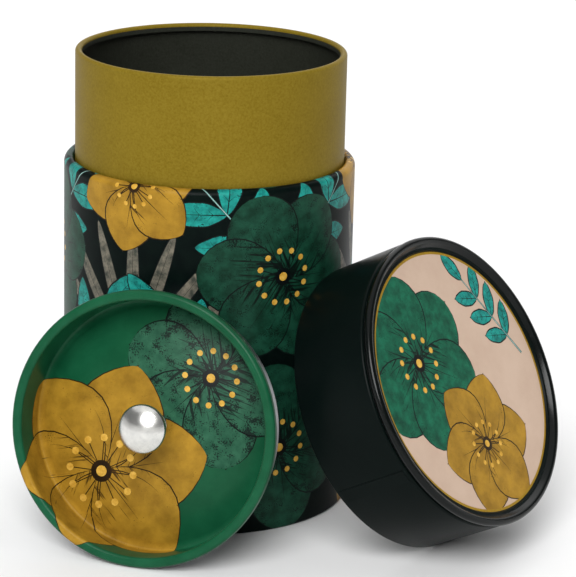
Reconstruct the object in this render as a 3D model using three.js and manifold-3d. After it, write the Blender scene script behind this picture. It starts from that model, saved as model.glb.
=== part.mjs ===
// Round tinplate tea caddy, shown open: the standing body, the inner lid leaning on its front
// left and the outer lid leaning on its right. Millimetres, +Z up, origin at the centre of the
// base, -Y towards the front.
import * as THREE from 'three';
import { mergeVertices } from 'three/addons/utils/BufferGeometryUtils.js';
import Module from 'manifold-3d';

const wasm = await Module();
wasm.setup();

// ---- driving dimensions ------------------------------------------------------------------
const TIN = 0.45;             // sheet thickness
const GAP = 0.3;              // clearance between neighbouring pieces
const BIG_SEGMENTS = 60;      // facets round every pressed piece
const SMALL_SEGMENTS = 30;    // facets round the knob hardware

const BODY_RADIUS = 43;
const SHOULDER_HEIGHT = 103.7;
const SHOULDER_ROUND = 2.0;
const BASE_ROUND = 0.9;
const RIM_HEIGHT = 135.6;
const NECK_RADIUS = 39.8;
const MOUTH_RADIUS = 37.8;
const CANISTER_FLOOR = 3.4;

const PAN_RIM_RADIUS = 39.3;  // inner lid
const PAN_PLUG_RADIUS = 36.8;
const PAN_DEPTH = 12.5;
const PAN_STEP = 0.5;
const KNOB_RADIUS = 7.1;
const KNOB_CENTRE = -0.4;     // height of the knob's widest line over the pan's rim plane
const KNOB_EDGE = 1.3;        // rounding of the knob's edge
const KNOB_CROWN = 10.3;      // radius of the knob's domed face
const SCREW_RADIUS = 1.5;

const LID_RADIUS = 42.85;     // outer lid, over its top bead
const LID_HEIGHT = 28.6;
const LID_BEAD = 2.6;
const LID_PANEL_DEPTH = 1.9;
const LID_PANEL_RADIUS = 38.6;
const LID_LAP_ANGLE = 204;    // degrees round the lid to the lap in its band

// How each lid leans: the side of the body it stands on, where its face looks and how far back
// it leans, in degrees.
const INNER_LEAN = { bearing: -106.5, facing: -109.2, lean: 12.15 };
const OUTER_LEAN = { bearing: -32.4, facing: -36.2, lean: 28.1 };

// ---- helpers -----------------------------------------------------------------------------
const rad = THREE.MathUtils.degToRad;

// Points [r, z] on an arc about (r0, z0), from angle a to angle b in degrees.
function arc(r0, z0, radius, a, b, steps) {
  const points = [];
  for (let i = 0; i <= steps; i++) {
    const t = rad(a + ((b - a) * i) / steps);
    points.push([r0 + radius * Math.cos(t), z0 + radius * Math.sin(t)]);
  }
  return points;
}

// The closed section of a sheet whose middle follows the path. A path that starts on the axis
// gives a disc, any other path a ring.
function sheet(path, thickness = TIN) {
  const one = [];
  const two = [];
  path.forEach(([r, z], i) => {
    const [r0, z0] = path[Math.max(i - 1, 0)];
    const [r1, z1] = path[Math.min(i + 1, path.length - 1)];
    const before = Math.atan2(z - z0, r - r0);
    const after = Math.atan2(z1 - z, r1 - r);
    const a = i === 0 ? after : before;
    const b = i === path.length - 1 ? before : after;
    const turn = Math.atan2(Math.sin(b - a), Math.cos(b - a)) / 2;
    const reach = thickness / 2 / Math.cos(turn);
    const nr = -Math.sin(a + turn) * reach;
    const nz = Math.cos(a + turn) * reach;
    const onAxis = r < 1e-9;
    one.push([onAxis ? 0 : r + nr, z + nz]);
    two.push([onAxis ? 0 : r - nr, z - nz]);
  });
  const section = [...one, ...two.reverse()];
  return path[0][0] < 1e-9 ? section : [...section, section[0]];
}

// A solid of revolution about +Z, closed and facing outwards.
function revolve(section, segments = BIG_SEGMENTS) {
  const profile = section.map(([r, z]) => new THREE.Vector2(Math.max(r, 0), z));
  const lathe = new THREE.LatheGeometry(profile, segments);
  lathe.rotateX(Math.PI / 2);
  return clean(lathe);
}

// Welds the seam, drops the flat triangles on the axis and turns the faces outwards.
function clean(source) {
  source.deleteAttribute('normal');
  source.deleteAttribute('uv');
  const welded = mergeVertices(source, 1e-4);
  const at = welded.getAttribute('position');
  const corner = (i) => new THREE.Vector3().fromBufferAttribute(at, i);
  const faces = [];
  let volume = 0;
  for (let i = 0; i < welded.index.count; i += 3) {
    const [a, b, c] = [0, 1, 2].map((k) => welded.index.getX(i + k));
    if (a === b || b === c || c === a) continue;
    faces.push([a, b, c]);
    volume += corner(a).dot(corner(b).cross(corner(c)));
  }
  welded.setIndex(faces.flatMap(([a, b, c]) => (volume < 0 ? [a, c, b] : [a, b, c])));
  return welded;
}

function toManifold(geometry) {
  return new wasm.Manifold(new wasm.Mesh({
    numProp: 3,
    vertProperties: new Float32Array(geometry.getAttribute('position').array),
    triVerts: new Uint32Array(geometry.index.array),
  }));
}

function fromManifold(solid) {
  const mesh = solid.getMesh();
  const geometry = new THREE.BufferGeometry();
  geometry.setAttribute('position', new THREE.BufferAttribute(mesh.vertProperties, 3));
  geometry.setIndex([...mesh.triVerts]);
  return geometry;
}

const join = (a, b) => fromManifold(toManifold(a).add(toManifold(b)));
const cut = (a, b) => fromManifold(toManifold(a).subtract(toManifold(b)));

// The overlap of a rolled sheet: a thin strip on the outside of a wall, about the angle given.
function lapStrip(radius, low, high, angle, width, proud) {
  const half = width / radius / 2;
  const outline = new THREE.Shape();
  outline.absarc(0, 0, radius + proud, rad(angle) - half, rad(angle) + half, false);
  outline.absarc(0, 0, radius - TIN / 2, rad(angle) + half, rad(angle) - half, true);
  const strip = new THREE.ExtrudeGeometry(outline, {
    depth: high - low, bevelEnabled: false, curveSegments: 3,
  });
  strip.translate(0, 0, low);
  return clean(strip);
}

// Where a lid ends up: its lowest edge on the surface the caddy stands on and its back against
// the body, a gap away. The lid's own +Z is the way its face looks.
function leaning(sections, { bearing, facing, lean }) {
  const face = new THREE.Vector3(
    Math.cos(rad(lean)) * Math.cos(rad(facing)),
    Math.cos(rad(lean)) * Math.sin(rad(facing)),
    Math.sin(rad(lean)));
  const side = new THREE.Vector3(0, 0, 1).cross(face).normalize();
  const rise = face.clone().cross(side);
  const edges = sections.flat();
  const height = -Math.min(...edges.map(([r, z]) => z * face.z - r * rise.z));
  const clearance = (distance) => {
    const x = distance * Math.cos(rad(bearing));
    const y = distance * Math.sin(rad(bearing));
    let least = Infinity;
    for (const [r, z] of edges) {
      for (let a = 0; a < 360; a += 360 / BIG_SEGMENTS) {
        const [c, s] = [r * Math.cos(rad(a)), r * Math.sin(rad(a))];
        least = Math.min(least, Math.hypot(
          x + c * side.x + s * rise.x + z * face.x,
          y + c * side.y + s * rise.y + z * face.y));
      }
    }
    return least;
  };
  let [near, far] = [0, 4 * BODY_RADIUS];
  while (far - near > 1e-6) {
    const middle = (near + far) / 2;
    if (middle > BODY_RADIUS && clearance(middle) > BODY_RADIUS + GAP) far = middle;
    else near = middle;
  }
  return new THREE.Matrix4().makeBasis(side, rise, face)
    .setPosition(far * Math.cos(rad(bearing)), far * Math.sin(rad(bearing)), height);
}

const group = new THREE.Group();

function piece(name, geometry, color, roughness, metalness, place) {
  if (place) geometry.applyMatrix4(place);
  geometry.computeVertexNormals();
  const material = new THREE.MeshStandardMaterial({ color, roughness, metalness });
  material.name = name;
  const mesh = new THREE.Mesh(geometry, material);
  mesh.name = name;
  group.add(mesh);
}

// ---- body --------------------------------------------------------------------------------
// Printed shell: a straight wall turned in under the base, rounded over at the shoulder and
// hemmed down beside the neck.
function shellSection() {
  const wall = BODY_RADIUS - TIN / 2;
  const round = SHOULDER_ROUND - TIN / 2;
  const turn = BASE_ROUND - TIN / 2;
  const hem = NECK_RADIUS + GAP + TIN / 2;
  return sheet([
    [wall - turn - 0.9, TIN / 2],
    ...arc(wall - turn, turn + TIN / 2, turn, -90, 0, 2),
    ...arc(wall - round, SHOULDER_HEIGHT - SHOULDER_ROUND, round, 0, 90, 4),
    [hem + 0.35, SHOULDER_HEIGHT - TIN / 2 - 0.1],
    [hem, SHOULDER_HEIGHT - TIN / 2 - 0.5],
    [hem, SHOULDER_HEIGHT - 3.2],
  ]);
}

const shellLap = lapStrip(BODY_RADIUS, BASE_ROUND + 1.2, SHOULDER_HEIGHT - SHOULDER_ROUND - 0.4,
  90, 4.5, 0.18);
piece('body_shell', join(revolve(shellSection()), shellLap), 0x0d1a17, 0.45, 0.1);

// Bottom: a flat panel level with the rolled base edge, a ring groove and a flange standing up
// inside the shell.
const flange = BODY_RADIUS - TIN - GAP - TIN / 2;
const turnedIn = BODY_RADIUS - BASE_ROUND - 0.9 - GAP;
piece('bottom_panel', revolve(sheet([
  [0, TIN / 2], [turnedIn - 4.2, TIN / 2], [turnedIn - 3.4, 1.1], [flange - 0.5, 1.1],
  [flange, 1.6], [flange, 4.6],
])), 0x8f9296, 0.4, 0.8);

// Inner canister: its wall stands up out of the shoulder as the neck and rolls inwards at the
// mouth; its floor is a separate dish pushed up inside the wall.
const neckWall = NECK_RADIUS - TIN / 2;
const lip = (NECK_RADIUS - MOUTH_RADIUS) / 2 - TIN / 2;
piece('canister_wall', revolve(sheet([
  [neckWall, CANISTER_FLOOR - 1],
  ...arc(neckWall - lip, RIM_HEIGHT - lip - TIN / 2, lip, 0, 180, 6),
  [neckWall - 2 * lip, RIM_HEIGHT - lip - 1.5],
])), 0x8a7322, 0.35, 0.7);

const floorRadius = NECK_RADIUS - TIN - GAP - TIN / 2;
piece('canister_floor', revolve(sheet([
  [0, CANISTER_FLOOR], [floorRadius - 0.8, CANISTER_FLOOR],
  [floorRadius, CANISTER_FLOOR + 0.8], [floorRadius, CANISTER_FLOOR + 4.5],
])), 0x3a3b36, 0.4, 0.8);

// ---- inner lid ---------------------------------------------------------------------------
// Pan: a rounded rim with a hem, a plug wall and a floor with a fine step near its edge. Heights
// are over the rim plane.
const panWall = PAN_PLUG_RADIUS - TIN / 2;
const panFloor = -PAN_DEPTH + TIN / 2;
const panHole = SCREW_RADIUS + GAP;
const panSection = sheet([
  [panHole, panFloor + PAN_STEP], [panWall - 3.2, panFloor + PAN_STEP], [panWall - 2.7, panFloor],
  ...arc(panWall - 1, panFloor + 1, 1, -90, 0, 2),
  ...arc(panWall + 0.7, -0.1, 0.7, 180, 90, 2),
  ...arc(PAN_RIM_RADIUS - TIN / 2 - 0.9, -0.3, 0.9, 90, 0, 3),
  [PAN_RIM_RADIUS - TIN / 2, -1.6],
]);
const innerPlace = leaning([panSection], INNER_LEAN);
piece('inner_lid_pan', revolve(panSection), 0x2a6a48, 0.4, 0.2, innerPlace);

// Knob: a polished domed cap on a narrow stem with a broader foot, drilled blind for its screw.
const footHeight = panFloor + PAN_STEP + TIN / 2 + GAP;
const knobBore = [SCREW_RADIUS + GAP, KNOB_CENTRE - 3.5];
const knobEdge = KNOB_RADIUS - KNOB_EDGE;
const domeTurn = Math.acos(knobEdge / (KNOB_CROWN - KNOB_EDGE));
const domeCentre = KNOB_CENTRE - (KNOB_CROWN - KNOB_EDGE) * Math.sin(domeTurn);
const domeEnd = THREE.MathUtils.radToDeg(domeTurn);
piece('inner_lid_knob', revolve([
  ...arc(0, domeCentre, KNOB_CROWN, 90, domeEnd, 6),
  ...arc(knobEdge, KNOB_CENTRE, KNOB_EDGE, domeEnd, -90, 7).slice(1),
  [3.2, KNOB_CENTRE - KNOB_EDGE], [2.6, KNOB_CENTRE - KNOB_EDGE - 0.8],
  [2.6, footHeight + 1.9], [3.6, footHeight + 0.9], [3.6, footHeight],
  [knobBore[0], footHeight], knobBore, [0, knobBore[1]],
], SMALL_SEGMENTS), 0xdadada, 0.12, 1, innerPlace);

// Screw from below, with its washer.
const washerTop = -PAN_DEPTH + PAN_STEP - GAP;
const washerThick = 0.8;
const headTop = washerTop - washerThick - GAP;
const headHeight = 1.8;
const washer = [
  [panHole, washerTop], [4.4, washerTop], [4.4, washerTop - washerThick],
  [panHole, washerTop - washerThick], [panHole, washerTop],
];
piece('knob_washer', revolve(washer, SMALL_SEGMENTS), 0xb4b6b8, 0.35, 1, innerPlace);
const screwBlank = revolve([
  [0, knobBore[1] - GAP], [SCREW_RADIUS - 0.4, knobBore[1] - GAP],
  [SCREW_RADIUS, knobBore[1] - GAP - 0.5], [SCREW_RADIUS, headTop], [2.9, headTop],
  [2.9, headTop - headHeight + 0.9], [2.1, headTop - headHeight + 0.2], [0, headTop - headHeight],
], SMALL_SEGMENTS);
const slot = new THREE.BoxGeometry(8, 0.8, 1.9);
slot.translate(0, 0, headTop - headHeight - 0.1);
piece('knob_screw', cut(screwBlank, clean(slot)), 0xa8aaac, 0.35, 1, innerPlace);

// ---- outer lid ---------------------------------------------------------------------------
// Band: a rolled wall with its lap, a flange turned in under the top and a curled open edge.
// Heights are over the top of the bead.
const bandWall = LID_RADIUS - 0.2 - TIN / 2;
const bandTop = -LID_BEAD - GAP - TIN / 2;
const curl = 0.55;
const bandSection = sheet([
  [bandWall - 1.6, bandTop],
  ...arc(bandWall - 0.6, bandTop - 0.6, 0.6, 90, 0, 2),
  ...arc(bandWall - curl, -LID_HEIGHT + curl + TIN / 2, curl, 0, -180, 4),
  [bandWall - 2 * curl, -LID_HEIGHT + 2.2],
]);

// Top: a rolled bead, two fine steps and the flat printed panel.
const topSection = sheet([
  [0, -LID_PANEL_DEPTH - TIN / 2], [LID_PANEL_RADIUS + 0.2, -LID_PANEL_DEPTH - TIN / 2],
  [LID_PANEL_RADIUS + 0.5, -LID_PANEL_DEPTH + 0.3], [LID_PANEL_RADIUS + 1.3, -LID_PANEL_DEPTH + 0.3],
  ...arc(LID_RADIUS - TIN / 2 - 1, -TIN / 2 - 1, 1, 150, -60, 6),
  [LID_RADIUS - 1.6, -LID_BEAD + TIN / 2],
]);
const outerPlace = leaning([bandSection, topSection], OUTER_LEAN);
const bandLap = lapStrip(LID_RADIUS - 0.2, -LID_HEIGHT + 1.4, bandTop - 0.8,
  LID_LAP_ANGLE, 4, 0.15);
piece('outer_lid_band', join(revolve(bandSection), bandLap), 0x0c1513, 0.45, 0.2, outerPlace);
piece('outer_lid_top', revolve(topSection), 0x2c5f4b, 0.4, 0.1, outerPlace);

export default group;
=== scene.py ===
"""Round printed tinplate tea caddy, shown open. Pieces are in metres in the CAD's frame; sections
and prints are laid out in millimetres."""

import math
import random

import bpy
import numpy as np
from mathutils import Matrix, Vector
from mathutils.geometry import delaunay_2d_cdt


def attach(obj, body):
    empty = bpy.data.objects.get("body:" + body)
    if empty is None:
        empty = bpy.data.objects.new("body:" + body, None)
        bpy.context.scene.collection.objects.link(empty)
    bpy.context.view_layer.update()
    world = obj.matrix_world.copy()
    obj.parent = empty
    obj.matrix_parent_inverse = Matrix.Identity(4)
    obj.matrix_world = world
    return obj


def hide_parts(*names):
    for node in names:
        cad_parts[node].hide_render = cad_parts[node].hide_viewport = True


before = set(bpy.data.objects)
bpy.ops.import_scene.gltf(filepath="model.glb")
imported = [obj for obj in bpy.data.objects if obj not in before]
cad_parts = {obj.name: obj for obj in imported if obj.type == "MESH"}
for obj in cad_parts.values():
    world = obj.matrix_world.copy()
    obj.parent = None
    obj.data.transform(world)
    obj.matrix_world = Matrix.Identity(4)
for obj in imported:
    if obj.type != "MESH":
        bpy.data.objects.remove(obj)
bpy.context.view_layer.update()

MM = 0.001

# ---- sizes, as in the CAD (mm) -------------------------------------------------------------
TIN = 0.45
BODY_RADIUS = 43.0
SHOULDER_HEIGHT = 103.7
SHOULDER_ROUND = 2.0
BASE_ROUND = 0.9
RIM_HEIGHT = 135.6
NECK_RADIUS = 39.8
MOUTH_RADIUS = 37.8
CANISTER_FLOOR = 3.4
PAN_RIM_RADIUS = 39.3
PAN_PLUG_RADIUS = 36.8
PAN_DEPTH = 12.5
PAN_STEP = 0.5
PAN_CROWN = 0.825
KNOB_RADIUS = 7.1
KNOB_CENTRE = -0.4
KNOB_EDGE = 1.3
KNOB_CROWN = 10.3
LID_RADIUS = 42.85
LID_HEIGHT = 28.6
LID_BEAD = 2.6
LID_PANEL_DEPTH = 1.9
LID_PANEL_RADIUS = 38.6
INNER_FACING, INNER_LEAN = -109.2, 12.15
OUTER_FACING, OUTER_LEAN = -36.2, 28.1
BAND_LAP_ANGLE = 204.0

TURNS = 180                   # facets round a smooth piece

# ---- the print's rules ---------------------------------------------------------------------
PRINT_COLUMNS = 6             # round the body
DARK_FLOWER = 0.5             # flower radii, as shares of the repeat's height
GOLD_FLOWER = 0.38
DAISY = 0.26
TWIG_LEAN = 42                # degrees from upright
LEAF_SHARE = 0.34             # a leaf's length as a share of its twig's
LEAF_WIDTH = 0.4              # and its width as a share of its length
FAN_HEIGHT = 0.8              # as a share of the repeat's height
BLADE_WIDTH = 0.1             # as a share of a blade's length
ANTHER_RING = 0.3             # as shares of a flower's radius
ANTHER_SIZE = 0.035
EYE_SIZE = 0.1
PETAL_WIDTH = 1.68            # as a share of half the gap between two petal tips
GOLDEN = 0.382                # turn from one flower to the next
OUTLINE = 0.42                # drawn line round a petal, mm
SMALL_PETAL = 8.0             # shorter petals have fewer points, mm
RIPPLES = 17.0                # ripples along a petal's edge, in radians
PANEL_RING = 0.75             # width of the gold ring, mm
GOLD_SHAPE = {"line": "brown", "full": 1.0, "tip": 0.7}


# ---- camera and light (m, degrees) ---------------------------------------------------------
CAMERA_PLACE = (0.0, -0.7746, 0.2937)
CAMERA_AIM = (0.0241, 0.0, 0.0627)
CAMERA_ROLL = -1.43
LENS = 168.2                  # mm
WORLD_STRENGTH = 0.2


# ---- where the leaning lids are ------------------------------------------------------------
def lid_place(node, facing, lean, crown):
    """A leaning lid's own frame: origin in the middle of its rim plane, +Z the way it faces."""
    a, e = math.radians(facing), math.radians(lean)
    face = Vector((math.cos(e) * math.cos(a), math.cos(e) * math.sin(a), math.sin(e)))
    side = Vector((0, 0, 1)).cross(face).normalized()
    rise = face.cross(side)
    points = [v.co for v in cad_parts[node].data.vertices]
    across = [p.dot(side) for p in points]
    up = [p.dot(rise) for p in points]
    top = max(p.dot(face) for p in points) - crown * MM
    origin = (side * (min(across) + max(across)) / 2 + rise * (min(up) + max(up)) / 2
              + face * top)
    place = Matrix((side, rise, face)).transposed().to_4x4()
    place.translation = origin
    return place


UPRIGHT = Matrix.Identity(4)
INNER_PLACE = lid_place("inner_lid_pan", INNER_FACING, INNER_LEAN, PAN_CROWN)
OUTER_PLACE = lid_place("outer_lid_top", OUTER_FACING, OUTER_LEAN, 0.0)


# ---- sections ------------------------------------------------------------------------------
def arc(r0, z0, radius, a, b, steps):
    """Points (r, z) on an arc about (r0, z0) from angle a to angle b in degrees."""
    return [(r0 + radius * math.cos(math.radians(a + (b - a) * i / steps)),
             z0 + radius * math.sin(math.radians(a + (b - a) * i / steps)))
            for i in range(steps + 1)]


def offset(path, distance):
    """The path moved sideways, to its left where distance is positive."""
    moved = []
    for i, (r, z) in enumerate(path):
        r0, z0 = path[max(i - 1, 0)]
        r1, z1 = path[min(i + 1, len(path) - 1)]
        before, after = math.atan2(z - z0, r - r0), math.atan2(z1 - z, r1 - r)
        a = after if i == 0 else before
        b = before if i == len(path) - 1 else after
        turn = math.atan2(math.sin(b - a), math.cos(b - a)) / 2
        reach = distance / math.cos(turn)
        moved.append((0.0 if r < 1e-9 else r - math.sin(a + turn) * reach,
                      z + math.cos(a + turn) * reach))
    return moved


def sheet(path):
    """The closed section of a sheet whose middle follows the path."""
    section = offset(path, TIN / 2) + offset(path, -TIN / 2)[::-1]
    return section if path[0][0] < 1e-9 else section + section[:1]


# ---- meshes --------------------------------------------------------------------------------
class Build:
    """A mesh in the making. Each face corner keeps its normal, its place on the flat printed
    sheet (mm) and its place in the motif it belongs to."""

    def __init__(self):
        self.verts, self.faces, self.slots = [], [], []
        self.normals, self.sheet, self.motif = [], [], []

    def face(self, corners, slot, normals, sheet=None, motif=None):
        self.faces.append(corners)
        self.slots.append(slot)
        self.normals.extend(normals)
        blank = [(0.0, 0.0, 0.0)] * len(corners)
        self.sheet.extend(sheet or blank)
        self.motif.extend(motif or blank)

    def finish(self, name, materials, body, node):
        mesh = bpy.data.meshes.new(name)
        mesh.from_pydata([tuple(v * MM for v in p) for p in self.verts], [], self.faces)
        order = list(dict.fromkeys(self.slots))
        for key in order:
            mesh.materials.append(materials[key])
        mesh.polygons.foreach_set("material_index", [order.index(s) for s in self.slots])
        mesh.polygons.foreach_set("use_smooth", [True] * len(mesh.polygons))
        for label, values in (("sheet", self.sheet), ("motif", self.motif)):
            layer = mesh.attributes.new(label, "FLOAT_VECTOR", "CORNER")
            layer.data.foreach_set("vector", np.array(values, np.float32).ravel())
        mesh.normals_split_custom_set([tuple(n) for n in self.normals])
        mesh.update()
        piece = bpy.data.objects.new(name, mesh)
        bpy.context.scene.collection.objects.link(piece)
        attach(piece, body)
        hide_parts(node)
        return piece


def moved(place, point):
    """A point of a lid's own frame, in mm, in the caddy's frame, in mm."""
    p = place @ Vector([c * MM for c in point])
    return tuple(c / MM for c in p)


def revolve(build, section, paint, place=UPRIGHT, turns=TURNS, crease=35):
    """Adds a closed section turned about the axis. paint(r, z, out) names a stretch's material
    from its middle and from the way it faces."""
    area = sum(a[0] * b[1] - b[0] * a[1] for a, b in zip(section, section[1:] + section[:1]))
    if area < 0:
        section = section[::-1]
    spans = [(a, b) for a, b in zip(section, section[1:]) if math.dist(a, b) > 1e-6]
    closed = math.dist(section[0], section[-1]) < 1e-6
    outs = [Vector((b[1] - a[1], a[0] - b[0])).normalized() for a, b in spans]
    rot = place.to_3x3()

    def blended(i, step):
        j = i + step
        if not closed and not 0 <= j < len(spans):
            return outs[i]
        other = outs[j % len(spans)]
        near = math.degrees(outs[i].angle(other)) < crease
        return (outs[i] + other).normalized() if near else outs[i]

    angles = [2 * math.pi * k / turns for k in range(turns)]
    rings = {}

    def ring(point):
        if point not in rings:
            rings[point] = len(build.verts)
            r, z = point
            count = 1 if r < 1e-6 else turns
            build.verts += [moved(place, (r * math.cos(t), r * math.sin(t), z))
                            for t in angles[:count]]
        return rings[point]

    for i, (p, q) in enumerate(spans):
        slot = paint((p[0] + q[0]) / 2, (p[1] + q[1]) / 2, outs[i])
        first, last = blended(i, -1), blended(i, 1)
        a, b = ring(p), ring(q)
        for k in range(turns):
            m = (k + 1) % turns
            corners, normals = [], []
            for base, point, n, turn in ((a, p, first, k), (a, p, first, m),
                                         (b, q, last, m), (b, q, last, k)):
                flat = point[0] < 1e-6
                index = base if flat else base + turn
                if index in corners:
                    continue
                t = angles[turn]
                corners.append(index)
                normals.append(rot @ Vector((n.x * math.cos(t), n.x * math.sin(t), n.y)))
            build.face(corners, slot, normals)


def strip(build, radius, low, high, angle, width, proud, slot, place=UPRIGHT):
    """A thin curved strip on a wall: the lap where a rolled sheet overlaps itself."""
    half = width / radius / 2
    rot = place.to_3x3()
    steps = 6
    turns = [math.radians(angle) + half * (2 * i / steps - 1) for i in range(steps + 1)]
    base = len(build.verts)
    for t in turns:
        for r, z in ((radius - 0.1, low), (radius + proud, low),
                     (radius + proud, high), (radius - 0.1, high)):
            build.verts.append(moved(place, (r * math.cos(t), r * math.sin(t), z)))

    def quad(corners, vectors):
        build.face([base + c for c in corners], slot, [rot @ Vector(v) for v in vectors])

    for i in range(steps):
        a, b = 4 * i, 4 * i + 4
        out = [(math.cos(t), math.sin(t), 0) for t in turns[i:i + 2]]
        fore = (out[0], out[1], out[1], out[0])
        quad((a + 1, b + 1, b + 2, a + 2), fore)
        quad((a, b, b + 1, a + 1), [(0, 0, -1)] * 4)
        quad((a + 2, b + 2, b + 3, a + 3), [(0, 0, 1)] * 4)
        quad((a + 3, b + 3, b, a), [tuple(-c for c in v) for v in fore])
    for i, sign in ((0, -1), (steps, 1)):
        t = turns[i]
        out = (sign * math.sin(t), sign * math.cos(t), 0)
        corners = [4 * i + c for c in range(4)]
        quad(corners if sign < 0 else corners[::-1], [out] * 4)


class Profile:
    """The printed side of a section, measured along its length from a given start."""

    def __init__(self, points, start, outward):
        self.points = points
        self.marks = [start]
        for a, b in zip(points, points[1:]):
            self.marks.append(self.marks[-1] + math.dist(a, b))
        spans = [Vector((b[1] - a[1], a[0] - b[0])).normalized() * outward
                 for a, b in zip(points, points[1:])]
        self.outs = ([spans[0]] + [(a + b).normalized() for a, b in zip(spans, spans[1:])]
                     + [spans[-1]])

    def at(self, s):
        s = min(max(s, self.marks[0]), self.marks[-1])
        i = min(int(np.searchsorted(self.marks, s, "right")) - 1, len(self.marks) - 2)
        f = (s - self.marks[i]) / (self.marks[i + 1] - self.marks[i])
        (r0, z0), (r1, z1) = self.points[i], self.points[i + 1]
        out = self.outs[i].lerp(self.outs[i + 1], f).normalized()
        return r0 + (r1 - r0) * f, z0 + (z1 - z0) * f, out


# ---- the print -----------------------------------------------------------------------------
class Print:
    """Shapes on a flat sheet in mm, later ones over earlier ones. Each one has its ink, its
    outline and the line (base, angle, length, width) that its own coordinates follow."""

    def __init__(self, seed, ground):
        self.ground = ground
        self.shapes = []
        self.dice = random.Random(seed)

    def add(self, ink, outline, base=(0, 0), angle=0.0, length=1.0, width=1.0):
        seed = self.dice.random() * 50
        a = math.radians(angle)
        outline = [p for p, q in zip(outline, outline[1:] + outline[:1])
                   if math.dist(p, q) > 0.004]
        area = sum(p[0] * q[1] - q[0] * p[1]
                   for p, q in zip(outline, outline[1:] + outline[:1]))
        if len(outline) < 3:
            return
        if area < 0:
            outline.reverse()
        self.shapes.append((ink, outline, (base, math.cos(a), math.sin(a), length, width, seed)))

    def strip(self, ink, points, widths):
        """A thin line of varying width through the points."""
        left, right = [], []
        for i, (x, y) in enumerate(points):
            x0, y0 = points[max(i - 1, 0)]
            x1, y1 = points[min(i + 1, len(points) - 1)]
            d = math.hypot(x1 - x0, y1 - y0) or 1.0
            nx, ny = -(y1 - y0) / d * widths[i] / 2, (x1 - x0) / d * widths[i] / 2
            left.append((x + nx, y + ny))
            right.append((x - nx, y - ny))
        self.add(ink, left + right[::-1], points[0])

    def petal(self, ink, base, angle, length, width, full=1.0, tip=0.7, line=OUTLINE,
              veins=3, wave=0.0, reach=0.75, outline="ink"):
        """A petal or leaf: a drawn outline, a fill and tapering veins. Higher full moves its
        widest place to the tip, lower tip makes its ends rounder, and wave ripples its edge."""
        a = math.radians(angle)
        phase = self.dice.random() * 6.28
        steps = 14 if length > SMALL_PETAL else 4

        def at(t, across):
            x, y = length * t, across
            return (base[0] + x * math.cos(a) - y * math.sin(a),
                    base[1] + x * math.sin(a) + y * math.cos(a))

        def half(t):
            t = min(max(t, 0.0), 1.0)
            shape = math.sin(math.pi * t ** full) ** tip
            return width / 2 * shape * (1 + wave * math.sin(RIPPLES * t + phase))

        def outline_of(grow):
            rows = [0.5 - (0.5 + grow / length) * math.cos(math.pi * i / steps)
                    for i in range(steps + 1)]
            edge = [half(t) + grow * min(1.0, 6 * max(0.0, 1 - abs(2 * t - 1)) + 0.35)
                    for t in rows]
            return ([at(t, h) for t, h in zip(rows, edge)]
                    + [at(t, -h) for t, h in zip(rows[::-1], edge[::-1])])

        where = (base, angle, length, width)
        if line:
            self.add(outline, outline_of(line), *where)
        self.add(ink, outline_of(0.0), *where)
        for i in range(veins):
            f = 0.0 if veins == 1 else -0.72 + 1.44 * i / (veins - 1)
            end = reach * (1 - 0.35 * abs(f)) * (0.85 + 0.3 * self.dice.random())
            rows = [0.03 + (end - 0.03) * k / 5 for k in range(6)]
            self.strip(outline, [at(t, f * half(t)) for t in rows],
                       [0.04 + 0.34 * (1 - k / 5) * min(1.0, width / 6) for k in range(6)])
        return at

    def disc(self, ink, centre, radius, corners):
        """A round dot."""
        turns = [2 * math.pi * k / corners for k in range(corners)]
        self.add(ink, [(centre[0] + radius * math.cos(t), centre[1] + radius * math.sin(t))
                       for t in turns], centre, 0.0, radius, radius)

    def twig(self, base, angle, length, pairs=4, spread=48):
        """A straight stem with equal pairs of leaves and one at its end."""
        a = math.radians(angle)
        size = length * LEAF_SHARE
        points = [(base[0] + length * k / pairs * math.cos(a),
                   base[1] + length * k / pairs * math.sin(a)) for k in range(pairs + 1)]
        for k in range(1, pairs):
            for side in (-1, 1):
                self.leaf(points[k], angle + side * spread, size)
        self.leaf(points[-1], angle, size)
        self.strip("ink", points, [0.8 - 0.3 * k / pairs for k in range(pairs + 1)])
        self.strip("stem", points, [0.45 - 0.2 * k / pairs for k in range(pairs + 1)])

    def leaf(self, base, angle, length):
        """A single leaf with a middle vein and short side veins."""
        width = length * LEAF_WIDTH
        at = self.petal("leaf", base, angle, length, width, tip=0.72, veins=1, wave=0.04,
                        reach=0.95)
        for k in range(2, 7, 2):
            t = k / 9
            for side in (-1, 1):
                reach = 0.36 * width * math.sin(math.pi * t) ** 0.7
                self.strip("ink", [at(t, 0), at(t + 0.06, side * reach * 0.5),
                                   at(t + 0.1, side * reach)], [0.16, 0.12, 0.03])

    def flower(self, ink, centre, radius, turn=0.0, line="ink", full=1.25, tip=0.5,
               petals=6):
        """An open flower seen from above: equal petals, and an eye in a ring of anthers."""
        width = PETAL_WIDTH * radius * math.sin(math.pi / petals)
        for k in range(petals):
            self.petal(ink, centre, turn + 360 * k / petals, radius, width, full=full, tip=tip,
                       veins=3, reach=0.62, outline=line)
        threads = 2 * petals
        for k in range(threads):
            t = math.radians(turn + 360 * (k + 0.5) / threads)
            end = (centre[0] + ANTHER_RING * radius * math.cos(t),
                   centre[1] + ANTHER_RING * radius * math.sin(t))
            self.strip(line, [centre, end], [0.3, 0.3])
            self.disc("seed", end, ANTHER_SIZE * radius, 8)
        self.disc(line, centre, EYE_SIZE * radius, 16)
        self.disc("seed", centre, 0.5 * EYE_SIZE * radius, 12)

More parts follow.
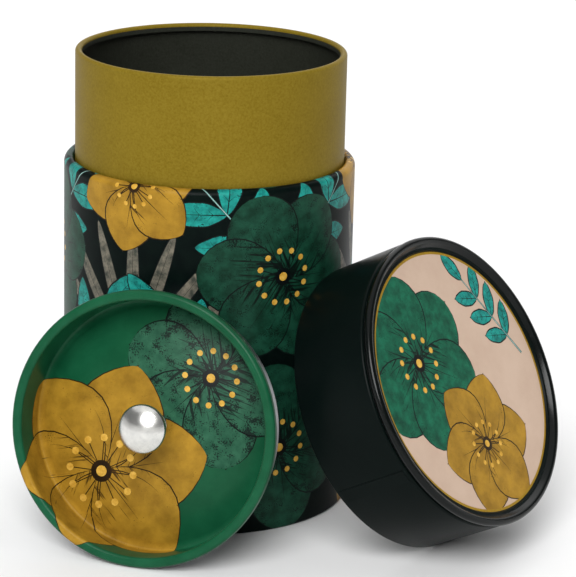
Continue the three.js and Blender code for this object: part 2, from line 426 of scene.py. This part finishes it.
    def daisy(self, centre, radius, petals=14):
        """A cream blossom of two rings of narrow petals."""
        for ring, size in enumerate((1.0, 0.64)):
            for k in range(petals):
                self.petal("cream", centre, 360 * (k + 0.5 * ring) / petals, size * radius,
                           0.34 * size * radius, tip=0.7, line=0.25, veins=1, outline="brown")
        self.disc("brown", centre, 0.2 * radius, 16)
        self.disc("seed", centre, 0.15 * radius, 16)

    def fan(self, ink, base, length, spread=110, count=7):
        """Equal palm blades fanned out evenly, upwards from one point."""
        for k in range(count):
            aim = 90 + spread * (k / (count - 1) - 0.5)
            self.petal(ink, base, aim, length, length * BLADE_WIDTH, full=1.15, tip=0.55,
                       line=0.3, veins=1, reach=0.9)


def print_on(build, prints, cells, lift):
    """Cuts the flat sheet along every outline, cell by cell, gives each bit the ink of the
    topmost shape over it and lifts it onto the piece. A cell is its outline and the lines it is
    also cut along; lift(x, y) returns a point in mm and its normal."""
    spans = [(min(x for x, _ in o), max(x for x, _ in o), min(y for _, y in o),
              max(y for _, y in o)) for _, o, _ in prints.shapes]
    welded = {}

    def corner(point):
        key = (round(point.x, 4), round(point.y, 4))
        if key not in welded:
            place, normal = lift(point.x, point.y)
            welded[key] = (len(build.verts), normal)
            build.verts.append(place)
        return welded[key]

    for domain, lines in cells:
        left, right = min(x for x, _ in domain), max(x for x, _ in domain)
        low, high = min(y for _, y in domain), max(y for _, y in domain)
        near = [shape for shape, (x0, x1, y0, y1) in zip(prints.shapes, spans)
                if x1 > left and x0 < right and y1 > low and y0 < high]
        verts, edges, faces = [Vector(p) for p in domain], [], [list(range(len(domain)))]
        for line in lines:
            start = len(verts)
            verts += [Vector(p) for p in line]
            edges += [(start + i, start + i + 1) for i in range(len(line) - 1)]
        for _, outline, _ in near:
            start = len(verts)
            verts += [Vector(p) for p in outline]
            faces.append(list(range(start, start + len(outline))))
        flat, _, parts, _, _, owners = delaunay_2d_cdt(verts, edges, faces, 0, 1e-5, True)
        for part, owner in zip(parts, owners):
            if 0 not in owner:
                continue
            points = [flat[i] for i in part]
            corners = [corner(p) for p in points]
            if len({index for index, _ in corners}) < 3:
                continue
            top = max(owner)
            ink, motif = prints.ground, None
            if top:
                ink, _, ((bx, by), ca, sa, length, width, seed) = near[top - 1]
                motif = [(((p.x - bx) * ca + (p.y - by) * sa) / length,
                          (-(p.x - bx) * sa + (p.y - by) * ca) / width, seed) for p in points]
            build.face([index for index, _ in corners], ink, [n for _, n in corners],
                       [(p.x, p.y, 0.0) for p in points], motif)


def wrapped(build, prints, profile, radius, step=4.0, cell=2):
    """The print round an upright wall. x runs round from the front, to the right; y up."""
    half = math.pi * radius
    low, high = profile.marks[0], profile.marks[-1]
    columns = int(360 / step)
    xs = [-half + 2 * half * k / columns for k in range(columns + 1)]
    cells = []
    for k in range(0, columns, cell):
        own = xs[k:k + cell + 1]
        lines = [[(x, low), (x, high)] for x in own[1:-1]]
        lines += [[(own[0], s), (own[-1], s)] for s in profile.marks[1:-1]]
        cells.append(([(x, low) for x in own] + [(x, high) for x in own[::-1]], lines))

    def lift(x, y):
        r, z, out = profile.at(y)
        t = x / radius
        return ((r * math.sin(t), -r * math.cos(t), z),
                Vector((out.x * math.sin(t), -out.x * math.cos(t), out.y)))

    print_on(build, prints, cells, lift)


def drawn(build, prints, profile, place, start, step=3.0, cell=15):
    """The print over a dish, laid out flat round its middle. start is the radius that the flat
    middle ends at."""
    rot = place.to_3x3()
    turns = [math.radians(step * k) for k in range(int(360 / step) + 1)]
    marks = [s for s in profile.marks if s >= start - 1e-6]
    cells = []
    for k in range(0, len(turns) - 1, cell):
        own = turns[k:k + cell + 1]
        arcs = [[(s * math.cos(t), s * math.sin(t)) for t in own] for s in marks]
        lines = arcs[:-1] + [[(s * math.cos(t), s * math.sin(t)) for s in marks] for t in own]
        cells.append(([(0.0, 0.0)] + arcs[-1], lines))

    def lift(x, y):
        r, z, out = profile.at(math.hypot(x, y))
        t = math.atan2(y, x)
        return (moved(place, (r * math.cos(t), r * math.sin(t), z)),
                rot @ Vector((out.x * math.cos(t), out.x * math.sin(t), out.y)))

    print_on(build, prints, cells, lift)


# ---- materials -----------------------------------------------------------------------------
def tone(code):
    """A linear colour from a six-digit sRGB one."""
    parts = [int(code[i:i + 2], 16) / 255 for i in (0, 2, 4)]
    return tuple(c / 12.92 if c <= 0.04045 else ((c + 0.055) / 1.055) ** 2.4
                 for c in parts) + (1.0,)


class Finish:
    """A node material about one Principled BSDF."""

    def __init__(self, name, roughness=0.4, metallic=0.0, specular=0.5):
        self.material = bpy.data.materials.new(name)
        self.material.use_nodes = True
        self.tree = self.material.node_tree
        self.shader = self.tree.nodes["Principled BSDF"]
        self.set("Roughness", roughness)
        self.set("Metallic", metallic)
        self.set("Specular IOR Level", specular)

    def set(self, socket, value):
        self.shader.inputs[socket].default_value = value

    def link(self, out, to):
        self.tree.links.new(out, to)

    def node(self, kind, values=(), **facts):
        node = self.tree.nodes.new("ShaderNode" + kind)
        for key, value in facts.items():
            setattr(node, key, value)
        for key, value in dict(values).items():
            if hasattr(value, "is_output"):
                self.link(value, node.inputs[key])
            else:
                node.inputs[key].default_value = value
        return node

    def attribute(self, name):
        return self.node("Attribute", attribute_name=name).outputs["Vector"]

    def place(self):
        return self.node("TexCoord").outputs["Object"]

    def scaled(self, vector, scale):
        return self.node("VectorMath", {0: vector, 1: scale}, operation="MULTIPLY").outputs[0]

    def noise(self, vector, scale, detail=3.0, rough=0.55):
        return self.node("TexNoise", {"Vector": vector, "Scale": scale, "Detail": detail,
                                      "Roughness": rough}).outputs["Fac"]

    def sharpen(self, value, low, high):
        """0 below low, 1 above high, straight between."""
        return self.node("MapRange", {"Value": value, "From Min": low,
                                      "From Max": high}).outputs["Result"]

    def math(self, operation, a, b=0.0):
        return self.node("Math", {0: a, 1: b}, operation=operation).outputs[0]

    def mix(self, factor, a, b):
        return self.node("MixRGB", {"Fac": factor, "Color1": a, "Color2": b}).outputs[0]

    def bump(self, height, strength, distance):
        node = self.node("Bump", {"Height": height, "Strength": strength, "Distance": distance})
        self.link(node.outputs[0], self.shader.inputs["Normal"])

    def done(self, colour=None, roughness=None):
        if colour is not None:
            self.link(colour, self.shader.inputs["Base Color"])
        if roughness is not None:
            self.link(roughness, self.shader.inputs["Roughness"])
        return self.material


def printed_ink(name, dark, light, grain=0.22, speck=None, amount=0.5, size=2.6, streak=None,
                roughness=0.4, shine=0.36, fade=(0.51, 0.78)):
    """A printed colour: mottled between two tones, with specks and streaks along a petal, under
    a thin satin varnish."""
    f = Finish(name, roughness=roughness, specular=shine)
    f.set("IOR", 1.25)
    flat = f.attribute("sheet")
    mottle = f.sharpen(f.noise(flat, grain, 5.0, 0.62), 0.36, 0.64)
    colour = f.mix(mottle, tone(dark), tone(light))
    if streak:
        own = f.attribute("motif")
        lines = f.noise(f.scaled(own, (2.2, 26.0, 1.0)), 1.0, 3.0, 0.6)
        along = f.node("SeparateXYZ", {0: own}).outputs[0]
        fade = f.node("MapRange", {"Value": along, "From Min": 0.05, "From Max": 0.85,
                                   "To Min": fade[0], "To Max": fade[1]}).outputs["Result"]
        drawn_line = f.sharpen(f.math("SUBTRACT", lines, fade), -0.06, 0.0)
        colour = f.mix(drawn_line, colour, tone(streak))
    if speck:
        dots = f.noise(flat, size, 2.0, 0.7)
        where = f.noise(flat, 0.3, 2.0, 0.5)
        level = f.node("MapRange", {"Value": where, "From Min": 0.3, "From Max": 0.7,
                                    "To Min": 0.78, "To Max": 1.02 - amount * 0.9}
                       ).outputs["Result"]
        side = f.math("ABSOLUTE", f.node("SeparateXYZ", {0: f.attribute("motif")}).outputs[1])
        level = f.math("SUBTRACT", level, f.node(
            "MapRange", {"Value": side, "From Min": 0.26, "From Max": 0.5, "To Max": 0.2 * amount}
        ).outputs["Result"])
        spots = f.sharpen(f.math("SUBTRACT", dots, level), 0.0, 0.05)
        colour = f.mix(spots, colour, tone(speck))
    grit = f.noise(f.place(), 2600.0, 2.0)
    f.bump(grit, 0.05, 0.0002)
    return f.done(colour, f.math("ADD", f.math("MULTIPLY", grit, 0.1), roughness - 0.05))


def lacquer(name, dark, light, roughness, metallic, grain=1500.0, bump=0.12, shine=0.3):
    """A sprayed lacquer with a fine orange-peel grain."""
    f = Finish(name, roughness=roughness, metallic=metallic, specular=shine)
    f.set("IOR", 1.3)
    peel = f.noise(f.place(), grain, 3.0, 0.6)
    cloud = f.noise(f.place(), 60.0, 3.0)
    colour = f.mix(f.sharpen(f.math("ADD", f.math("MULTIPLY", peel, 0.7),
                                    f.math("MULTIPLY", cloud, 0.3)), 0.3, 0.7),
                   tone(dark), tone(light))
    f.bump(peel, bump, 0.0003)
    return f.done(colour, f.math("ADD", f.math("MULTIPLY", peel, 0.12), roughness - 0.06))


def bare_metal(name, dark, light, roughness, stretch=(1.0, 1.0, 1.0), scale=900.0, smudge=0.12,
               bump=0.04):
    """Bare tinplate or steel, with fine drawn lines and faint handling marks."""
    f = Finish(name, roughness=roughness, metallic=1.0)
    lines = f.noise(f.scaled(f.place(), stretch), scale, 4.0, 0.65)
    marks = f.noise(f.place(), 140.0, 5.0, 0.7)
    colour = f.mix(f.sharpen(lines, 0.3, 0.7), tone(dark), tone(light))
    f.bump(lines, bump, 0.0002)
    return f.done(colour, f.math("ADD", f.math("MULTIPLY", marks, smudge),
                                 roughness - smudge / 2))


def make_materials():
    m = {
        "night": printed_ink("night_print", "030b0a", "06110e", roughness=0.34, shine=0.15),
        "ink": printed_ink("ink_line", "04090a", "0a1110"),
        "brown": printed_ink("brown_line", "1c1206", "2e1e0a"),
        "stem": printed_ink("stem_line", "5d8a84", "8fb5ae"),
        "petal": printed_ink("petal_green", "0a2e20", "174735", speck="06120e", amount=0.6,
                             streak="07140f"),
        "petal_bright": printed_ink("petal_panel", "083f2d", "14654a", speck="041c14",
                                    amount=0.5, streak="04160f", fade=(0.54, 0.8)),
        "petal_pan": printed_ink("petal_pan", "1d4b37", "2f6149", speck="10221b", amount=0.7,
                                 size=2.2, streak="10231b"),
        "leaf": printed_ink("leaf_teal", "0e6660", "1f978c", grain=0.4, speck="04201f",
                            amount=0.5, size=1.7),
        "frond": printed_ink("frond_teal", "0f6a62", "229a8e", grain=0.4, streak="04201d",
                             fade=(0.56, 0.7)),
        "frond_grey": printed_ink("frond_grey", "3c3f38", "7a7466", grain=0.4, streak="181a17"),
        "gold_petal": printed_ink("petal_gold", "86641c", "a98128", grain=0.12, speck="3c2a0c",
                            amount=0.45, streak="4a340e", fade=(0.6, 0.84)),
        "cream": printed_ink("blossom_cream", "cdb656", "ecdc8c", grain=0.3, speck="6a5a20",
                             amount=0.3),
        "seed": printed_ink("seed_gold", "bb8d2e", "d9ae50", grain=0.5),
        "green": printed_ink("pan_green", "0d482d", "165437", grain=0.08, roughness=0.3,
                             shine=0.45),
        "blush": printed_ink("panel_blush", "bba28f", "c3ab98", grain=0.06, shine=0.3),
        "gold_line": lacquer("gold_line", "8c6c16", "a8851f", 0.4, 0.2),
        "black": lacquer("black_satin", "040a09", "08110f", 0.32, 0.0, bump=0.06, shine=0.14),
        "gloss": lacquer("black_gloss", "020504", "040908", 0.2, 0.0, bump=0.01, shine=0.5),
        "gold": lacquer("gold_lacquer", "6e5b13", "847023", 0.46, 0.1, shine=0.12),
        # painted shade: a dark grey for the canister's inner wall and floor, standing in for the
        # shade deep inside the canister
        "inside": lacquer("painted_shade_inside", "24261f", "31332c", 0.36, 0.0, shine=0.6),
        "tin": bare_metal("bare_tin", "8a8d90", "a6a8aa", 0.34, (1, 1, 0.15)),
        "zinc": bare_metal("zinc_plate", "8f9193", "b0b2b3", 0.36),
        "polish": bare_metal("polished_steel", "d8d8d4", "f0efea", 0.24, scale=500.0,
                             smudge=0.2, bump=0.02),
    }
    return m


MATERIALS = make_materials()


# ---- prints --------------------------------------------------------------------------------
def body_print():
    """A half-drop repeat round the wall: dark flowers in every other column, gold flowers and
    daisies by turns in the columns between them, palm fans and twigs behind."""
    p = Print(7, "night")
    half = math.pi * BODY_RADIUS
    pitch = 2 * half / PRINT_COLUMNS
    drop = SHOULDER_HEIGHT / 2
    spots = [(k, row, -half + (k + 0.5) * pitch, (row + 0.5 * (k % 2)) * drop)
             for k in range(-1, PRINT_COLUMNS + 1) for row in range(3)]
    for k, row, x, y in spots:
        if k % 2 == 0 and row < 2:
            p.fan("frond_grey" if row else "frond", (x, y), FAN_HEIGHT * drop)
    for k, row, x, y in spots:
        if k % 2:
            for side in (-1, 1):
                p.twig((x, y), 90 + side * TWIG_LEAN, drop)
    for k, row, x, y in spots:
        turn = 360 * GOLDEN * (3 * k + row)
        if k % 2:
            p.flower("petal", (x, y), DARK_FLOWER * drop, turn)
        elif row % 2:
            p.daisy((x, y), DAISY * drop)
        else:
            p.flower("gold_petal", (x, y), GOLD_FLOWER * drop, turn, **GOLD_SHAPE)
    return p


def pan_print():
    """A gold flower and a dark one, opposite each other about the knob."""
    p = Print(11, "green")
    reach = 0.55 * PAN_RIM_RADIUS
    corner = reach * math.sqrt(0.5)
    p.flower("petal_pan", (corner, corner), 0.8 * reach * 1.5, 45)
    p.flower("gold_petal", (-corner, -corner), reach * 1.5, 15, **GOLD_SHAPE)
    return p


def panel_print():
    """A dark flower, a gold one and a twig, a third of a turn apart, in a gold ring."""
    p = Print(5, "blush")
    reach = 0.5 * LID_PANEL_RADIUS
    seats = [(reach * math.cos(t), reach * math.sin(t))
             for t in (math.radians(30 + 120 * k) for k in range(3))]
    p.twig((2 * seats[0][0], 0.0), 120, 1.6 * reach)
    p.flower("petal_bright", seats[1], 1.35 * reach, 30)
    p.flower("gold_petal", seats[2], 1.1 * reach, **GOLD_SHAPE)
    ring = [(math.cos(math.radians(3 * k)), math.sin(math.radians(3 * k))) for k in range(121)]
    outer, inner = LID_PANEL_RADIUS, LID_PANEL_RADIUS - PANEL_RING
    for k in range(0, 120, 4):
        span = ring[k:k + 5]
        p.add("gold_line", [(outer * c, outer * s) for c, s in span]
              + [(inner * c, inner * s) for c, s in span[::-1]])
    return p


# ---- pieces --------------------------------------------------------------------------------
def make_shell():
    wall = BODY_RADIUS - TIN / 2
    round_, turn = SHOULDER_ROUND - TIN / 2, BASE_ROUND - TIN / 2
    hem = NECK_RADIUS + 0.3 + TIN / 2
    path = ([(wall - turn - 0.9, TIN / 2)]
            + arc(wall - turn, turn + TIN / 2, turn, -90, 0, 6)
            + arc(wall - round_, SHOULDER_HEIGHT - SHOULDER_ROUND, round_, 0, 90, 10)
            + [(hem + 0.35, SHOULDER_HEIGHT - TIN / 2 - 0.1),
               (hem, SHOULDER_HEIGHT - TIN / 2 - 0.5), (hem, SHOULDER_HEIGHT - 3.2)])
    build = Build()
    outside, inside = offset(path, -TIN / 2), offset(path, TIN / 2)
    profile = Profile(outside, -1.0, 1.0)
    wrapped(build, body_print(), profile, BODY_RADIUS)
    lining = inside[::-1] if inside[0][1] < inside[-1][1] else inside
    revolve(build, [outside[-1]] + lining + [outside[0]], lambda r, z, out: "tin")
    strip(build, BODY_RADIUS, 2.1, SHOULDER_HEIGHT - SHOULDER_ROUND - 0.4, 90, 4.5, 0.12,
          "black")
    return build.finish("printed_shell", MATERIALS, "caddy_body", "body_shell")


def make_neck():
    wall = NECK_RADIUS - TIN / 2
    lip = (NECK_RADIUS - MOUTH_RADIUS) / 2 - TIN / 2
    path = ([(wall, CANISTER_FLOOR - 1)]
            + arc(wall - lip, RIM_HEIGHT - lip - TIN / 2, lip, 0, 180, 16)
            + [(wall - 2 * lip, RIM_HEIGHT - lip - 1.5)])
    build = Build()
    crown = RIM_HEIGHT - lip - TIN / 2

    # the outside and the rolled rim are gold; the inner face gets the dark grey of painted shade
    def paint(r, z, out):
        return "gold" if z > crown - 0.3 or r > NECK_RADIUS - 0.05 else "inside"

    revolve(build, sheet(path), paint)
    return build.finish("canister_neck", MATERIALS, "caddy_body", "canister_wall")


def make_pan():
    wall = PAN_PLUG_RADIUS - TIN / 2
    floor = -PAN_DEPTH + TIN / 2
    hole = 1.8
    path = ([(hole, floor + PAN_STEP), (wall - 3.2, floor + PAN_STEP), (wall - 2.7, floor)]
            + arc(wall - 1, floor + 1, 1, -90, 0, 6)
            + arc(wall + 0.7, -0.1, 0.7, 180, 90, 6)
            + arc(PAN_RIM_RADIUS - TIN / 2 - 0.9, -0.3, 0.9, 90, 0, 8)
            + [(PAN_RIM_RADIUS - TIN / 2, -1.6)])
    build = Build()
    face, back = offset(path, TIN / 2), offset(path, -TIN / 2)
    profile = Profile([(0.0, face[0][1])] + face[1:], 0.0, -1.0)
    drawn(build, pan_print(), profile, INNER_PLACE, wall - 3.4)
    revolve(build, [face[-1]] + back[::-1] + [face[0]], lambda r, z, out: "tin", INNER_PLACE)
    return build.finish("printed_pan", MATERIALS, "inner_lid", "inner_lid_pan")


def make_knob():
    foot = -PAN_DEPTH + TIN + PAN_STEP + 0.3
    edge = KNOB_RADIUS - KNOB_EDGE
    turn = math.acos(edge / (KNOB_CROWN - KNOB_EDGE))
    centre = KNOB_CENTRE - (KNOB_CROWN - KNOB_EDGE) * math.sin(turn)
    end = math.degrees(turn)
    dome = (arc(0, centre, KNOB_CROWN, 90, end, 16)
            + arc(edge, KNOB_CENTRE, KNOB_EDGE, end, -90, 16)[1:])
    under = KNOB_CENTRE - KNOB_EDGE
    stem = ([(3.4, under)] + arc(3.4, under - 0.8, 0.8, 90, 180, 5)[1:]
            + arc(3.5, foot + 1.7, 0.9, 180, 270, 5) + [(3.6, foot + 0.7), (3.6, foot),
                                                        (0.0, foot)])
    build = Build()
    revolve(build, dome + stem, lambda r, z, out: "polish", INNER_PLACE, 96)
    return build.finish("domed_knob", MATERIALS, "inner_lid", "inner_lid_knob")


def make_band():
    wall = LID_RADIUS - 0.2 - TIN / 2
    top = -LID_BEAD - 0.3 - TIN / 2
    curl = 0.55
    path = ([(wall - 1.6, top)] + arc(wall - 0.6, top - 0.6, 0.6, 90, 0, 5)
            + arc(wall - curl, -LID_HEIGHT + curl + TIN / 2, curl, 0, -180, 10)
            + [(wall - 2 * curl, -LID_HEIGHT + 2.2)])
    build = Build()
    revolve(build, sheet(path), lambda r, z, out: "black" if out.x > 0 or z < -27.6 else "tin",
            OUTER_PLACE)
    strip(build, LID_RADIUS - 0.2, -LID_HEIGHT + 1.4, top - 0.8, BAND_LAP_ANGLE, 4, 0.12,
          "black", OUTER_PLACE)
    return build.finish("lid_band", MATERIALS, "outer_lid", "outer_lid_band")


def make_top():
    plate = -LID_PANEL_DEPTH - TIN / 2
    step = -LID_PANEL_DEPTH + 0.3
    path = ([(0.0, plate), (LID_PANEL_RADIUS + 0.2, plate), (LID_PANEL_RADIUS + 0.5, step),
             (LID_PANEL_RADIUS + 1.3, step)]
            + arc(LID_RADIUS - TIN / 2 - 1, -TIN / 2 - 1, 1, 150, -60, 20)
            + [(LID_RADIUS - 1.6, -LID_BEAD + TIN / 2)])
    build = Build()
    face, back = offset(path, TIN / 2), offset(path, -TIN / 2)
    rim = LID_PANEL_RADIUS
    profile = Profile([(0.0, face[0][1]), (rim, face[0][1])], 0.0, -1.0)
    drawn(build, panel_print(), profile, OUTER_PLACE, rim)
    revolve(build, [(rim, face[0][1])] + face[1:] + back[::-1] + [(0.0, face[0][1] - 0.02)],
            lambda r, z, out: "tin" if out.y < -0.2 and r < rim + 1
            else "gloss" if out.x > 0 or r > rim + 1 else "black", OUTER_PLACE)
    return build.finish("printed_top", MATERIALS, "outer_lid", "outer_lid_top")


def dress(node, key):
    """A CAD piece keeps its shape and gets a finished material."""
    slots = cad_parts[node].data.materials
    slots.clear()
    slots.append(MATERIALS[key])


make_shell()
make_neck()
make_pan()
make_knob()
make_band()
make_top()
dress("bottom_panel", "tin")
# the canister floor gets the same dark grey, which is painted shade
dress("canister_floor", "inside")
dress("knob_washer", "zinc")
dress("knob_screw", "zinc")


# ---- studio --------------------------------------------------------------------------------
def make_backdrop(flat=4.5, bend=0.9, wall=1.4, turns=64):
    """A pale floor that curves up into a low wall all round."""
    section = [(0.0, 0.0)] + arc(flat, bend, bend, -90, 0, 12) + [(flat + bend, wall)]
    verts = [(r * math.cos(math.tau * k / turns), r * math.sin(math.tau * k / turns), z)
             for r, z in section for k in range(turns)]
    faces = [(i * turns + k, i * turns + (k + 1) % turns, (i + 1) * turns + (k + 1) % turns,
              (i + 1) * turns + k) for i in range(len(section) - 1) for k in range(turns)]
    mesh = bpy.data.meshes.new("studio_floor")
    mesh.from_pydata(verts, [], faces)
    mesh.polygons.foreach_set("use_smooth", [True] * len(faces))
    floor = bpy.data.objects.new("studio_floor", mesh)
    bpy.context.scene.collection.objects.link(floor)
    f = Finish("studio_paper", roughness=0.9, specular=0.1)
    f.set("Base Color", (0.86, 0.86, 0.86, 1.0))
    mesh.materials.append(f.done())


def sun(name, heading, power, spread):
    """A broad soft light from far off, shining along the heading."""
    light = bpy.data.lights.new(name, "SUN")
    light.energy = power
    light.angle = math.radians(spread)
    lamp = bpy.data.objects.new(name, light)
    lamp.rotation_euler = Vector(heading).to_track_quat("-Z", "Y").to_euler()
    bpy.context.scene.collection.objects.link(lamp)


def make_light():
    """Even white surroundings, a key light from the camera's side and two weaker ones."""
    world = bpy.data.worlds.new("studio")
    bpy.context.scene.world = world
    world.use_nodes = True
    sky = world.node_tree.nodes["Background"].inputs
    sky["Color"].default_value = (1.0, 1.0, 1.0, 1.0)
    sky["Strength"].default_value = WORLD_STRENGTH
    sun("key", (0.2, 1.0, -0.9), 2.9, 36)
    sun("top", (0.1, -0.25, -1.0), 0.8, 80)
    sun("back", (-0.3, -1.0, -0.8), 0.8, 60)


def make_camera():
    """A long lens, above the front of the caddy and rolled a little."""
    data = bpy.data.cameras.new("camera")
    data.lens = LENS
    data.sensor_width = 36.0
    data.sensor_fit = "HORIZONTAL"
    data.clip_start = 0.05
    camera = bpy.data.objects.new("camera", data)
    camera.location = CAMERA_PLACE
    aim = Vector(CAMERA_AIM) - Vector(CAMERA_PLACE)
    roll = Matrix.Rotation(math.radians(CAMERA_ROLL), 3, aim)
    turn = roll @ aim.to_track_quat("-Z", "Y").to_matrix()
    camera.rotation_euler = turn.to_euler()
    bpy.context.scene.collection.objects.link(camera)
    bpy.context.scene.camera = camera


make_backdrop()
make_light()
make_camera()
bpy.context.scene.view_settings.view_transform = "Standard"
